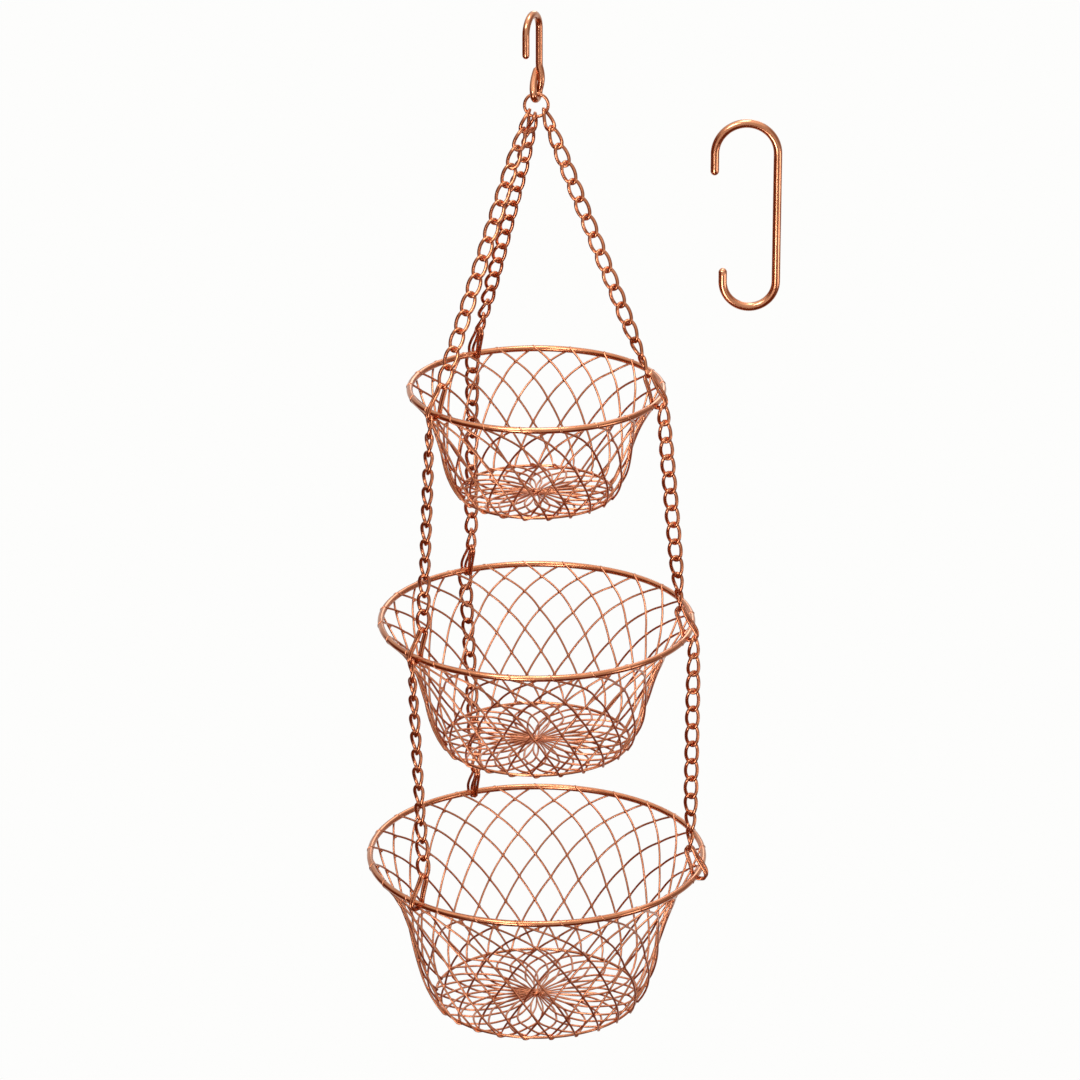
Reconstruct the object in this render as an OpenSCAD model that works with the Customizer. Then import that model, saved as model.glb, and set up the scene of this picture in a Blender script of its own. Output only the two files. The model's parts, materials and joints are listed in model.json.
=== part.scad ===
// Three-tier hanging fruit basket: a hook and ring, nine lengths of chain and
// three round wire baskets of growing size, with a spare double hook beside it.
// The origin is the inside of the top hook's bend, where it hangs. Z is up.

/* [Hook] */
// Wire thickness of the hanging hook
hook_wire = 6.2; // [4:0.1:8]
// Radius of the hook's bend, to the middle of its wire
hook_bend_r = 15; // [11:0.5:22]
// How far the hook's tip reaches below the bend
hook_tip_drop = 22; // [8:0.5:30]
// Length of the straight shank below the bend
hook_shank = 38; // [30:0.5:60]
// Radius of the eye's round bottom, to the middle of its wire
eye_r = 6.5; // [6:0.1:8]
// Height of the eye's pointed part
eye_height = 16.5; // [12:0.5:30]
// Turn of the hook's plane about the vertical
hook_turn = 68; // [0:1:90]

/* [Ring] */
// Radius of the ring, to the middle of its wire
ring_r = 10.1; // [8.5:0.1:14]
// Wire thickness of the ring
ring_wire = 2.8; // [2:0.1:3.2]

/* [Chain] */
// Wire thickness of the chain links
link_wire = 2.7; // [2:0.1:3]
// Outside width of a link
link_width = 12.2; // [11.6:0.1:14]
// Spacing of the links along a chain, to the nearest whole link
link_pitch = 16.3; // [14:0.1:20]

/* [Top basket] */
// Radius of the top rim, to the middle of its wire
top_rim_r = 110.3; // [90:0.1:130]
// Radius of the top basket's foot ring
top_foot_r = 67; // [50:0.1:80]
// Depth of the top basket, rim to foot ring
top_depth = 95.3; // [70:0.1:120]
// Drop from the hook's bend to the top rim
top_drop = 333.3; // [280:0.1:400]
// Share of the top basket's slant that lies in the flare below its rim
top_flare = 0.66; // [0.4:0.01:0.8]
// Turn of the top basket's mesh wires on their way down the wall
top_turn = 49; // [35:0.5:65]
// Place of the top basket's first mesh wire round the rim
top_start = 6; // [0:0.1:16]
// Number of mesh wires in the top basket
top_wires = 21; // [16:1:26]

/* [Middle basket] */
// Radius of the middle rim, to the middle of its wire
middle_rim_r = 137.9; // [125:0.1:145]
// Radius of the middle basket's foot ring
middle_foot_r = 83; // [65:0.1:100]
// Depth of the middle basket, rim to foot ring
middle_depth = 114.2; // [90:0.1:140]
// Drop from the top rim to the middle rim
middle_drop = 216.2; // [180:0.1:260]
// Share of the middle basket's slant that lies in the flare below its rim
middle_flare = 0.72; // [0.4:0.01:0.8]
// Turn of the middle basket's mesh wires on their way down the wall
middle_turn = 53.5; // [35:0.5:65]
// Place of the middle basket's first mesh wire round the rim
middle_start = 5.4; // [0:0.1:16]
// Number of mesh wires in the middle basket
middle_wires = 24; // [18:1:28]

/* [Bottom basket] */
// Radius of the bottom rim, to the middle of its wire
bottom_rim_r = 150.1; // [140:0.1:170]
// Radius of the bottom basket's foot ring
bottom_foot_r = 92; // [75:0.1:110]
// Depth of the bottom basket, rim to foot ring
bottom_depth = 138.9; // [110:0.1:160]
// Drop from the middle rim to the bottom rim
bottom_drop = 226.4; // [190:0.1:280]
// Share of the bottom basket's slant that lies in the flare below its rim
bottom_flare = 0.69; // [0.4:0.01:0.8]
// Turn of the bottom basket's mesh wires on their way down the wall
bottom_turn = 57; // [35:0.5:65]
// Place of the bottom basket's first mesh wire round the rim
bottom_start = 4.4; // [0:0.1:16]
// Number of mesh wires in the bottom basket
bottom_wires = 25; // [20:1:30]

/* [Basket wire] */
// Wire thickness of the rims
rim_wire = 4.4; // [3.6:0.1:5]
// Wire thickness of the foot rings
foot_wire = 2.4; // [1.8:0.1:3.2]
// Thickness of the mesh wire
mesh_wire = 1.5; // [1.2:0.05:1.8]
// Turn of a mesh wire on its way across the floor
floor_turn = 34; // [10:1:50]
// Height of the knot in the middle of the floor
knot_height = 6; // [4:0.1:8]

/* [Clips] */
// Wire thickness of the clips
clip_wire = 1.9; // [1.8:0.1:2.2]
// Height of the chain's hold above the rim
clip_rise = 23; // [19:0.5:28]
// How far the clip's top stands inward of the rim
clip_lean = 7; // [4:0.5:9]
// Reach of the clip's foot outward of the rim, to the lower chain
clip_reach = 5.7; // [5.5:0.1:7]

/* [Spare hook] */
// Wire thickness of the spare hook
spare_wire = 6.2; // [4:0.1:8]
// Radius of the wide end's bend, to the middle of its wire
spare_wide_r = 27.5; // [20:0.5:32]
// Radius of the narrow end's bend, to the middle of its wire
spare_narrow_r = 23.5; // [16:0.5:28]
// Length between the middles of the two bends
spare_length = 114; // [90:1:150]
// Straight end past the wide bend
spare_wide_end = 19; // [8:0.5:26]
// Straight end past the narrow bend
spare_narrow_end = 12; // [6:0.5:20]
// Place of the spare hook's long side to the right of the hook
spare_x = 210; // [200:0.5:260]
// Place of the spare hook's wide bend below the hook's bend
spare_drop = 119; // [90:0.5:150]

/* [Fits] */
// Clearance between wires that hang in or lie on each other
gap = 0.3; // [0.25:0.01:0.5]
// Clearance between a chain's end links and the clips they hang on
hold_gap = 0.57; // [0.35:0.01:0.6]
// Room at each side of a chain's end link in the head of a clip
head_room = 0.9; // [0.7:0.1:1.2]

/* [Hidden] */

copper = [0.80, 0.45, 0.33];
copper_dark = [0.62, 0.31, 0.22];
copper_pale = [0.88, 0.56, 0.43];

// Angles of the three hangers round each rim: right, back, left
top_hang = [-20, 119.4, 218.3];
middle_hang = [-15.7, 117, 221];
bottom_hang = [-17.2, 113, 226];
// Places of the upper chains' first links on the ring, measured from the right
ring_hold = [-29, 261, 216];

// The hook's eye and all below it hang on one vertical line
eye_out = hook_bend_r - eye_r;
axis_x = eye_out * cos(hook_turn);
axis_y = eye_out * sin(hook_turn);
bend_z = hook_wire / 2 - hook_bend_r;
shank_end_z = bend_z - hook_shank;
eye_z = shank_end_z - eye_height;
eye_bottom_z = eye_z - eye_r;
ring_top_z = eye_bottom_z + hook_wire / 2 + ring_wire / 2 + gap;
ring_z = ring_top_z - ring_r;

top_z = -top_drop;
middle_z = top_z - middle_drop;
bottom_z = middle_z - bottom_drop;

function spin(p, a) = [p[0] * cos(a) - p[1] * sin(a), p[0] * sin(a) + p[1] * cos(a), p[2]];
function on_axis(p) = [p[0] + axis_x, p[1] + axis_y, p[2]];
function unit(v) = v / norm(v);
function mix(a, b, t) = a + (b - a) * t;
function polar(r, a) = [r * cos(a), r * sin(a)];

// A straight wire from p to q
module rod(p, q, d) {
    v = q - p;
    translate(p) rotate([0, acos(v[2] / norm(v)), atan2(v[1], v[0])]) cylinder(d = d, h = norm(v), $fn = 32);
}

// Part of a ring of wire in the XZ plane, from angle a, turning by sweep
module bend(r, d, a, sweep) {
    rotate([90, 0, 0]) rotate([0, 0, a]) rotate_extrude(angle = sweep, $fn = 64)
        translate([r, 0]) circle(d = d, $fn = 32);
}

// A whole ring of wire lying flat
module hoop(r, d) {
    rotate_extrude($fn = 96) translate([r, 0]) circle(d = d, $fn = 32);
}

// The hanging hook: tip, bend, straight shank and an eye turned back on itself
module hanging_hook() {
    eye_side = eye_r * 0.94;
    color(copper) rotate([0, 0, hook_turn]) translate([0, 0, bend_z]) {
        bend(hook_bend_r, hook_wire, 0, 180);
        translate([-hook_bend_r, 0, -hook_tip_drop]) cylinder(d = hook_wire, h = hook_tip_drop, $fn = 32);
        translate([hook_bend_r, 0, -hook_shank - eye_height])
            cylinder(d = hook_wire, h = hook_shank + eye_height, $fn = 32);
        translate([eye_out, 0, eye_z - bend_z]) bend(eye_r, hook_wire, 180, 180);
        translate([eye_out - eye_r, 0, eye_z - bend_z]) sphere(d = hook_wire, $fn = 32);
        rod([eye_out - eye_r, 0, eye_z - bend_z],
            [hook_bend_r - eye_side * 0.8, 0, shank_end_z - bend_z], hook_wire);
    }
}

// The ring that gathers the three upper chains
module ring() {
    color(copper_pale) translate([axis_x, axis_y, ring_z]) bend(ring_r, ring_wire, 0, 360);
}

// The spare double hook, beside the basket
module spare_hook() {
    color(copper) translate([spare_x, 0, -spare_drop]) {
        translate([-spare_wide_r, 0, 0]) bend(spare_wide_r, spare_wire, 0, 180);
        translate([-2 * spare_wide_r, 0, -spare_wide_end])
            cylinder(d = spare_wire, h = spare_wide_end, $fn = 32);
        translate([0, 0, -spare_length]) cylinder(d = spare_wire, h = spare_length, $fn = 32);
        translate([-spare_narrow_r, 0, -spare_length]) bend(spare_narrow_r, spare_wire, 180, 180);
        translate([-2 * spare_narrow_r, 0, -spare_length])
            cylinder(d = spare_wire, h = spare_narrow_end, $fn = 32);
    }
}

// One flat link about the origin: its length runs along Z and its width along X
function link_reach(pitch) = (pitch + link_wire + gap) / 2;
module link(pitch) {
    r = (link_width - link_wire) / 2;
    straight = round((link_reach(pitch) - r) * 1000) / 1000;
    translate([0, 0, straight]) bend(r, link_wire, 0, 180);
    translate([0, 0, -straight]) bend(r, link_wire, 180, 180);
    for (side = [-1, 1])
        translate([side * r, 0, -straight]) cylinder(d = link_wire, h = 2 * straight, $fn = 32);
}

// The part of v that lies square to the unit direction w
function square_to(v, w) = v - (v * w) * w;

// A chain hanging from hold a to hold b. The first link's width lies along
// first and the last link's along last, and both end bends sit true in their
// holds however the chain leans.
module chain(hold_a, hold_b, first, last) {
    r = (link_width - link_wire) / 2;
    lean = unit(hold_a - hold_b);
    bend_a = hold_a - r * unit(square_to(lean, first));
    bend_b = hold_b + r * unit(square_to(lean, last));
    along = unit(bend_a - bend_b);
    a = bend_a + r * along;
    b = bend_b - r * along;
    span = norm(a - b) - link_wire - gap;
    count = round(span / link_pitch);
    pitch = span / count;
    e0 = unit(square_to(first, along));
    side0 = cross(along, e0);
    e1 = unit(square_to(last, along));
    total = atan2(e1 * side0, e1 * e0);
    plain = 90 * (count - 1);
    extra = total - plain;
    left = extra - 180 * round(extra / 180);
    step = 90 + left / (count - 1);
    for (i = [0:count - 1]) {
        turn = i * step;
        e = cos(turn) * e0 + sin(turn) * side0;
        n = cross(along, e);
        c = a - (link_reach(pitch) + i * pitch) * along;
        multmatrix([[e[0], n[0], along[0], c[0]], [e[1], n[1], along[1], c[1]],
            [e[2], n[2], along[2], c[2]], [0, 0, 0, 1]]) link(pitch);
    }
}

// Where chains hold: the middle of the end link's wire, at a rim's hanger
function clip_foot(r, z, a) = on_axis(spin([r + clip_reach, 0,
    z - rim_wire / 2 - gap + hold_gap + link_wire / 2], a));
function clip_head(r, z, a) = on_axis(spin([r - clip_lean, 0, z + clip_rise], a));
function ring_point(a) = [axis_x + (ring_r - ring_wire / 2 - link_wire / 2 - gap) * cos(a), axis_y,
    ring_z + (ring_r - ring_wire / 2 - link_wire / 2 - gap) * sin(a)];
function across(a) = [-sin(a), cos(a), 0];

module upper_chain(i) {
    color(copper) chain(ring_point(ring_hold[i]), clip_head(top_rim_r, top_z, top_hang[i]),
        [0, 1, 0], across(top_hang[i]));
}

module middle_chain(i) {
    color(copper) chain(clip_foot(top_rim_r, top_z, top_hang[i]),
        clip_head(middle_rim_r, middle_z, middle_hang[i]), across(top_hang[i]), across(middle_hang[i]));
}

module lower_chain(i) {
    color(copper) chain(clip_foot(middle_rim_r, middle_z, middle_hang[i]),
        clip_head(bottom_rim_r, bottom_z, bottom_hang[i]), across(middle_hang[i]), across(bottom_hang[i]));
}

// Rings of corners round the points of a path, each first corner on its guide's side
function path_rings(path, d, sides, guides) = [for (i = [0:len(path) - 1])
    let (back = path[max(i - 1, 0)], ahead = path[min(i + 1, len(path) - 1)],
        t = unit(ahead - back),
        u = unit(square_to(guides[i], t)),
        v = cross(t, u))
    for (k = [0:sides - 1]) path[i] + d / 2 * (cos(k * 360 / sides) * u + sin(k * 360 / sides) * v)];

// Faces of a closed tube over such rings, its first corner numbered s
function tube_faces(s, rings, sides) = concat(
    [for (i = [0:rings - 2]) for (k = [0:sides - 1])
        let (n = (k + 1) % sides, p = s + i * sides)
        each [[p + k, p + sides + n, p + n], [p + k, p + sides + k, p + sides + n]]],
    [for (k = [1:sides - 2]) [s, s + k, s + k + 1]],
    [let (e = s + (rings - 1) * sides) for (k = [1:sides - 2]) [e, e + k + 1, e + k]]);

// A clip is one length of wire wound twice round the rim in a long triangle,
// upright along the basket's radius. Its head holds the chain above and its
// foot the chain below.
clip_head_r = link_wire / 2 + hold_gap + clip_wire / 2 + head_room;
clip_corner_r = clip_wire;
clip_sides = 6;
// Distance of each turn from the clip's middle plane
clip_turn_y = clip_wire / 2 + 0.02;
// Room between the wire's end and the stretch that crosses to the other turn
clip_end_room = 1;

// Points of an arc in the plane at y, from angle a to angle b in equal steps
function clip_arc(c, r, y, a, b, steps) = [for (i = [0:steps])
    let (o = polar(r, mix(a, b, i / steps))) [c[0] + o[0], y, c[1] + o[1]]];

module clip(rim_r, z, a) {
    inner_x = -rim_wire / 2 - gap - clip_wire / 2;
    base_z = -rim_wire / 2 - gap - clip_wire / 2;
    outer_x = clip_reach + link_wire / 2 + head_room + clip_wire / 2;
    head = [-clip_lean, clip_rise - head_room];
    inner = [inner_x + clip_corner_r, base_z + clip_corner_r];
    outer = [outer_x - clip_corner_r, base_z + clip_corner_r];
    // angles at which the sides leave the round corners
    in_v = head - inner;
    in_a = atan2(in_v[1], in_v[0]) + 90 - asin((clip_head_r - clip_corner_r) / norm(in_v));
    out_v = head - outer;
    out_a = atan2(out_v[1], out_v[0]) - 90 + asin((clip_head_r - clip_corner_r) / norm(out_v));
    y = clip_turn_y;
    path = concat(
        [let (o = polar(clip_corner_r, in_a)) [inner[0] + o[0], -y, inner[1] + o[1]]],
        clip_arc(head, clip_head_r, -y, in_a, out_a, 6),
        clip_arc(outer, clip_corner_r, -y, out_a, -90, 3),
        [[outer[0] - clip_end_room, -y, base_z]],
        clip_arc(inner, clip_corner_r, y, 270, in_a, 3),
        clip_arc(head, clip_head_r, y, in_a, out_a, 6),
        clip_arc(outer, clip_corner_r, y, out_a, -90, 3));
    guides = [for (p = path) [0, 1, 0]];
    color(copper_pale) translate([axis_x, axis_y, z]) rotate([0, 0, a]) translate([rim_r, 0, 0])
        polyhedron(path_rings(path, clip_wire, clip_sides, guides),
            tube_faces(0, len(path), clip_sides), convexity = 6);
}

// One rim or foot ring of a basket
module basket_hoop(r, z, d, tint) {
    color(tint) translate([axis_x, axis_y, z]) hoop(r, d);
}

// The knot that ties the mesh wires in the middle of the floor
function knot_r(count) = count * (mesh_wire + gap) / 360 * 180 / PI;
module knot(count, z) {
    color(copper_dark) translate([axis_x, axis_y, z - knot_height / 2])
        cylinder(r = knot_r(count), h = knot_height, $fn = 48);
}

// Mesh wire. Its way runs from the knot out along the floor, up the outside of
// the wall, over the rim, down the inside and back along the floor.
rim_off = rim_wire / 2 + gap + mesh_wire / 2;
foot_off = foot_wire / 2 + gap + mesh_wire / 2;
mesh_off = (mesh_wire + gap) / 2;
wall_steps = 8;
floor_steps = 4;
rim_steps = 6;
// Turn of an outside wire while it passes round the foot ring, each step
foot_step = 0.6;

// Radius and height of the wall at a share t of the way down from the rim
function wall_at(t, rim_r, foot_r, depth, flare) =
    [foot_r + (rim_r - foot_r) * (flare * pow(1 - t, 3) + (1 - flare) * (1 - pow(t, 6))), -depth * t];
// The way out of the wall, square to it, between shares t and t + step
function wall_out(t, step, rim_r, foot_r, depth, flare) =
    let (v = wall_at(t + step, rim_r, foot_r, depth, flare) - wall_at(t, rim_r, foot_r, depth, flare))
    unit([-v[1], v[0]]);
// Share of its turn that a wire has made at a share t of the way down: more of it
// comes in the flare, where the wall slants most
flare_turn = 0.21;
function turned(t) = mix(t, 1 - pow(1 - t, 6), flare_turn);
// Distance of a wire from the wall's middle surface, wider at rim and foot
function wall_off(t) = mesh_off + (rim_off - mesh_off) * pow(1 - t, 12) + (foot_off - mesh_off) * pow(t, 10);

// The points of half a wire, side 1 outside and -1 inside, from rim to knot
function half_wire(side, rim_r, foot_r, depth, flare, wall_turn, count) =
    let (near = 1 / wall_steps,
        v = wall_out(1 - near, near, rim_r, foot_r, depth, flare),
        wall_a = atan2(v[1], v[0]),
        foot_angles = side > 0 ? [wall_a, (wall_a - 90) / 2, -90] : [(wall_a + 270) / 2])
    concat(
        [for (i = [0:wall_steps - 1])
            let (t = pow(i / wall_steps, 1.25),
                w = wall_at(t, rim_r, foot_r, depth, flare),
                o = side * wall_off(t) * wall_out(t, near, rim_r, foot_r, depth, flare))
            spin([w[0] + o[0], 0, w[1] + o[1]], side * wall_turn * turned(t))],
        [for (i = [0:len(foot_angles) - 1])
            let (o = polar(foot_off, foot_angles[i]))
            spin([foot_r + o[0], 0, o[1] - depth], side * (wall_turn + i * foot_step))],
        [for (i = [1:floor_steps])
            let (t = i / floor_steps,
                r = mix(foot_r, knot_r(count) + gap, pow(t, 0.9)),
                a = side * (wall_turn + floor_turn * (1 - pow(1 - t, 2))))
            spin([r, 0, -depth - side * mesh_off], a)]);

function over_rim(rim_r, foot_r, depth, flare) =
    let (v = wall_out(0, 1 / wall_steps, rim_r, foot_r, depth, flare), low = atan2(v[1], v[0]))
    [for (i = [1:rim_steps - 1])
        let (t = i / rim_steps, o = polar(rim_off, low + 180 * t))
        [rim_r + o[0], 0, o[1]]];

function reversed(list) = [for (i = [len(list) - 1:-1:0]) list[i]];

function wire_path(rim_r, foot_r, depth, flare, wall_turn, count) = concat(
    reversed(half_wire(1, rim_r, foot_r, depth, flare, wall_turn, count)),
    over_rim(rim_r, foot_r, depth, flare),
    half_wire(-1, rim_r, foot_r, depth, flare, wall_turn, count));

// The mesh of one basket: every wire is a closed tube of its own
wire_sides = 4;
module mesh(rim_r, foot_r, depth, flare, wall_turn, start, count, z) {
    path = wire_path(rim_r, foot_r, depth, flare, wall_turn, count);
    rings = len(path);
    guides = [for (p = path) [p[0], p[1], p[2] * 0.2 + 0.01]];
    base = path_rings(path, mesh_wire * 1.1, wire_sides, guides);
    points = [for (w = [0:count - 1]) for (p = base) on_axis(spin(p, start + w * 360 / count))];
    faces = [for (w = [0:count - 1]) each tube_faces(w * rings * wire_sides, rings, wire_sides)];
    color(copper) translate([0, 0, z]) polyhedron(points, faces, convexity = 10);
}

hanging_hook();
ring();
spare_hook();

basket_hoop(top_rim_r, top_z, rim_wire, copper);  // top_rim
basket_hoop(top_foot_r, top_z - top_depth, foot_wire, copper_dark);  // top_foot_ring
mesh(top_rim_r, top_foot_r, top_depth, top_flare, top_turn, top_start, top_wires, top_z);  // top_mesh
knot(top_wires, top_z - top_depth);  // top_knot

basket_hoop(middle_rim_r, middle_z, rim_wire, copper);  // middle_rim
basket_hoop(middle_foot_r, middle_z - middle_depth, foot_wire, copper_dark);  // middle_foot_ring
mesh(middle_rim_r, middle_foot_r, middle_depth, middle_flare, middle_turn, middle_start,  // middle_mesh
        middle_wires, middle_z);
knot(middle_wires, middle_z - middle_depth);  // middle_knot

basket_hoop(bottom_rim_r, bottom_z, rim_wire, copper);  // bottom_rim
basket_hoop(bottom_foot_r, bottom_z - bottom_depth, foot_wire, copper_dark);  // bottom_foot_ring
mesh(bottom_rim_r, bottom_foot_r, bottom_depth, bottom_flare, bottom_turn, bottom_start,  // bottom_mesh
        bottom_wires, bottom_z);
knot(bottom_wires, bottom_z - bottom_depth);  // bottom_knot

clip(top_rim_r, top_z, top_hang[0]);  // top_right_clip
clip(top_rim_r, top_z, top_hang[1]);  // top_back_clip
clip(top_rim_r, top_z, top_hang[2]);  // top_left_clip
clip(middle_rim_r, middle_z, middle_hang[0]);  // middle_right_clip
clip(middle_rim_r, middle_z, middle_hang[1]);  // middle_back_clip
clip(middle_rim_r, middle_z, middle_hang[2]);  // middle_left_clip
clip(bottom_rim_r, bottom_z, bottom_hang[0]);  // bottom_right_clip
clip(bottom_rim_r, bottom_z, bottom_hang[1]);  // bottom_back_clip
clip(bottom_rim_r, bottom_z, bottom_hang[2]);  // bottom_left_clip

upper_chain(0);  // upper_right_chain
upper_chain(1);  // upper_back_chain
upper_chain(2);  // upper_left_chain
middle_chain(0);  // middle_right_chain
middle_chain(1);  // middle_back_chain
middle_chain(2);  // middle_left_chain
lower_chain(0);  // lower_right_chain
lower_chain(1);  // lower_back_chain
lower_chain(2);  // lower_left_chain
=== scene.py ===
"""Looks of the three-tier hanging fruit basket, dressed over its fixed frame."""
import json
import logging
import math
import random
from dataclasses import dataclass
from enum import Enum
from typing import Dict, List, Mapping, Optional, Sequence, Tuple

import bpy
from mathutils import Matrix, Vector

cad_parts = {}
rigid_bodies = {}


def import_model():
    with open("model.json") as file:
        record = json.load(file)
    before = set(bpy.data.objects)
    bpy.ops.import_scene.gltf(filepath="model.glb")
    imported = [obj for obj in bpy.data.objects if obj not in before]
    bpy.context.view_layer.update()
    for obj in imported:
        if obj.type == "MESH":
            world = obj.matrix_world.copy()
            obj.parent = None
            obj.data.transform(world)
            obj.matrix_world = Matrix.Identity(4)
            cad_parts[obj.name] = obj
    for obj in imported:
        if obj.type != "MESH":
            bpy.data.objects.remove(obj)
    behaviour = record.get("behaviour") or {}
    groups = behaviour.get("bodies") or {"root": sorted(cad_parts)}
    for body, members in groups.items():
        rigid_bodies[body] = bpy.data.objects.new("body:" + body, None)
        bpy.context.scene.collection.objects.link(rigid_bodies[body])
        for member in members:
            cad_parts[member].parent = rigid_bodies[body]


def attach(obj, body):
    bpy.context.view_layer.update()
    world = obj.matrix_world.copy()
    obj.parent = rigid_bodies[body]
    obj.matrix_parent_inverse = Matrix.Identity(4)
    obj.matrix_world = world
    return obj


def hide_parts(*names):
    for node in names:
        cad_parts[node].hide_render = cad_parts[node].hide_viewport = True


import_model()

logging.basicConfig(level=logging.INFO, format="%(message)s")
log = logging.getLogger("fruit_basket")

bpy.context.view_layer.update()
Point = Tuple[float, float, float]

# One millimetre in metres; all sizes below are millimetres unless they say otherwise.
MM = 0.001
# The gap between wires that lie on each other in the CAD.
REST_GAP = 0.3
# Half the chain wire's thickness in the CAD, from which the chains' holds are placed.
CHAIN_HALF = 1.35


class Side(Enum):
    """The three hangers round each basket."""

    RIGHT = 0
    BACK = 1
    LEFT = 2

    @property
    def word(self) -> str:
        """The side's name as the nodes spell it."""
        return self.name.lower()


# ------------------------------------------------------------------ finishes

def linear(hex_colour: str) -> Tuple[float, float, float, float]:
    """Turn an sRGB hex colour into a linear one.

    Args:
        hex_colour: Six hex digits with a leading hash.

    Returns:
        Red, green, blue and alpha, linear.
    """
    parts = [int(hex_colour[i:i + 2], 16) / 255 for i in (1, 3, 5)]
    lin = [c / 12.92 if c <= 0.04045 else ((c + 0.055) / 1.055) ** 2.4 for c in parts]
    return (lin[0], lin[1], lin[2], 1.0)


def add_node(tree: bpy.types.NodeTree, kind: str,
             settings: Optional[Mapping[str, object]] = None,
             sockets: Optional[Mapping[object, object]] = None,
             links: Optional[Mapping[object, object]] = None) -> bpy.types.Node:
    """Add one shader node with its settings, socket values and links.

    Args:
        tree: The node tree that takes the node.
        kind: The node's type name.
        settings: Attribute values of the node.
        sockets: Values of its input sockets, by name or number.
        links: Output sockets to join to its inputs, by name or number.

    Returns:
        The new node.
    """
    node = tree.nodes.new(kind)
    for name, value in (settings or {}).items():
        setattr(node, name, value)
    for name, value in (sockets or {}).items():
        node.inputs[name].default_value = value
    for name, source in (links or {}).items():
        tree.links.new(source, node.inputs[name])
    return node


@dataclass(frozen=True)
class CopperPlate:
    """Copper plating on drawn steel wire, bright from the bath, under clear lacquer.

    The bath leaves a slightly uneven film, so its colour drifts between a
    bright rose and a browner tone over a few centimetres. The drawn wire
    below gives a fine grain, which is far under a tenth of a millimetre on
    the real wire and is drawn coarser here so that it shows at all. The
    lacquer lays a thin white glint over it.
    """

    name: str
    bright: str
    brown: str
    roughness: float
    drift_mm: float = 22.0
    grain_mm: float = 1.6
    dent: float = 0.014
    dent_mm: float = 0.05
    lacquer: float = 0.55
    lacquer_roughness: float = 0.2

    def build(self) -> bpy.types.Material:
        """Make the material.

        Returns:
            The finished material.
        """
        mat = bpy.data.materials.new(self.name)
        mat.use_nodes = True
        tree = mat.node_tree
        tree.nodes.clear()
        place = add_node(tree, "ShaderNodeTexCoord")
        drift = add_node(tree, "ShaderNodeTexNoise", {"noise_dimensions": "3D"},
                         {"Scale": 1 / (self.drift_mm * MM), "Detail": 3.0, "Roughness": 0.55},
                         {"Vector": place.outputs["Object"]})
        spread = add_node(tree, "ShaderNodeMapRange", {},
                          {"From Min": 0.30, "From Max": 0.72, "To Min": 0.0, "To Max": 1.0},
                          {"Value": drift.outputs[0]})
        grain = add_node(tree, "ShaderNodeTexNoise", {"noise_dimensions": "3D"},
                         {"Scale": 1 / (self.grain_mm * MM), "Detail": 2.0, "Roughness": 0.6},
                         {"Vector": place.outputs["Object"]})
        colour = add_node(tree, "ShaderNodeMix", {"data_type": "RGBA"},
                          {6: linear(self.bright), 7: linear(self.brown)},
                          {0: spread.outputs["Result"]})
        rough = add_node(tree, "ShaderNodeMapRange", {},
                         {"From Min": 0.3, "From Max": 0.7,
                          "To Min": self.roughness - 0.05, "To Max": self.roughness + 0.08},
                         {"Value": grain.outputs[0]})
        bump = add_node(tree, "ShaderNodeBump", {},
                        {"Strength": self.dent, "Distance": self.dent_mm * MM},
                        {"Height": grain.outputs[0]})
        shader = add_node(tree, "ShaderNodeBsdfPrincipled", {},
                          {"Metallic": 1.0, "Coat Weight": self.lacquer,
                           "Coat Roughness": self.lacquer_roughness},
                          {"Base Color": colour.outputs[2], "Roughness": rough.outputs["Result"],
                           "Normal": bump.outputs["Normal"]})
        add_node(tree, "ShaderNodeOutputMaterial", {}, {}, {"Surface": shader.outputs["BSDF"]})
        return mat


@dataclass(frozen=True)
class PaleFloor:
    """Opal white acrylic sheet lit evenly from behind, the plain floor of the studio.

    It is as bright as the paper white behind the real object, and it is kept
    out of the light sampling, because the lamps light the wires.
    """

    name: str = "opal_white_acrylic"
    tint: str = "#FDFDFC"

    def build(self) -> bpy.types.Material:
        """Make the material.

        Returns:
            The finished material.
        """
        mat = bpy.data.materials.new(self.name)
        mat.use_nodes = True
        tree = mat.node_tree
        tree.nodes.clear()
        glow = add_node(tree, "ShaderNodeEmission", {},
                        {"Color": linear(self.tint), "Strength": 1.0})
        add_node(tree, "ShaderNodeOutputMaterial", {}, {}, {"Surface": glow.outputs["Emission"]})
        mat.cycles.emission_sampling = "NONE"
        return mat


# ------------------------------------------------------------------ wire work

# Shares of a wire's radius at which its rounded end is drawn.
CAP_STEPS = (0.35, 0.7, 0.92, 0.99)
# Points at each end of a wire that are thinner where it is pulled tight, and how many of
# them it takes to grow back to its full thickness.
PULLED_POINTS = 14
PULL_FADE = 9
# Points of a bent wire closer than this, in metres, become one.
MERGE_M = 0.00001
# Facets that meet at a smaller angle than this, in degrees, are shaded as one surface.
SMOOTH_UNDER = 50


def clear_selection() -> None:
    """Deselect everything, so that an operator acts on the new piece alone."""
    for obj in bpy.context.view_layer.objects:
        obj.select_set(False)


def choose(obj: bpy.types.Object) -> None:
    """Select one object alone and make it active."""
    clear_selection()
    obj.select_set(True)
    bpy.context.view_layer.objects.active = obj


def spin(p: Sequence[float], degrees: float) -> Point:
    """Turn a point about the vertical.

    Args:
        p: The point.
        degrees: The turn, anticlockwise from above.

    Returns:
        The turned point.
    """
    c, s = math.cos(math.radians(degrees)), math.sin(math.radians(degrees))
    return (p[0] * c - p[1] * s, p[0] * s + p[1] * c, p[2])


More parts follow.
